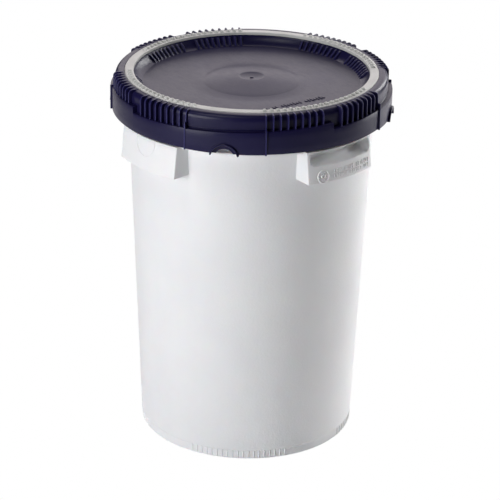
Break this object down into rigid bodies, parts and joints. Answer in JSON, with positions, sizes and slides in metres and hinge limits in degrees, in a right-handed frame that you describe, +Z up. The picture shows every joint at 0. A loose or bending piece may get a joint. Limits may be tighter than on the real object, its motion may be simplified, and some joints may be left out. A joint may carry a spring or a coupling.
{
  "type": "bear canister",
  "caption": "Tapered open-top plastic drum with moulded hand grips and a navy quick-thread screw lid with a sunken top, for keeping food or gear.",
  "frame": {"origin": "centre of the base, on the surface it stands on", "axes": "+Z up along the drum's axis, windowed grips on -Y and +Y, plain grips on -X and +X"},
  "size_m": [0.321, 0.321, 0.4408],
  "materials": {
    "drum_plastic": "natural white polyethylene, satin",
    "lid_plastic": "navy polyethylene, satin",
    "ring_plastic": "pale grey translucent polymer, satin",
    "seal_rubber": "dark sealing rubber, matt"
  },
  "bodies": {
    "drum": {"drum_body": "drum_plastic"},
    "seal": {"seal_ring": "seal_rubber"},
    "lid": {"lid": "lid_plastic", "stacking_ring": "ring_plastic"}
  },
  "joints": [
    {"name": "lid_lift", "type": "slide", "parent": "drum", "child": "seal", "axis": [0, 0, 1], "range_m": [0, 0.04]},
    {"name": "lid_turn", "type": "hinge", "parent": "seal", "child": "lid", "pos_m": [0, 0, 0.41], "axis": [0, 0, 1], "range_deg": [0, 450]}
  ],
  "couplings": [
    {"joint": "lid_lift", "follows": "lid_turn", "m_per_rad": 0.0050929}
  ]
}
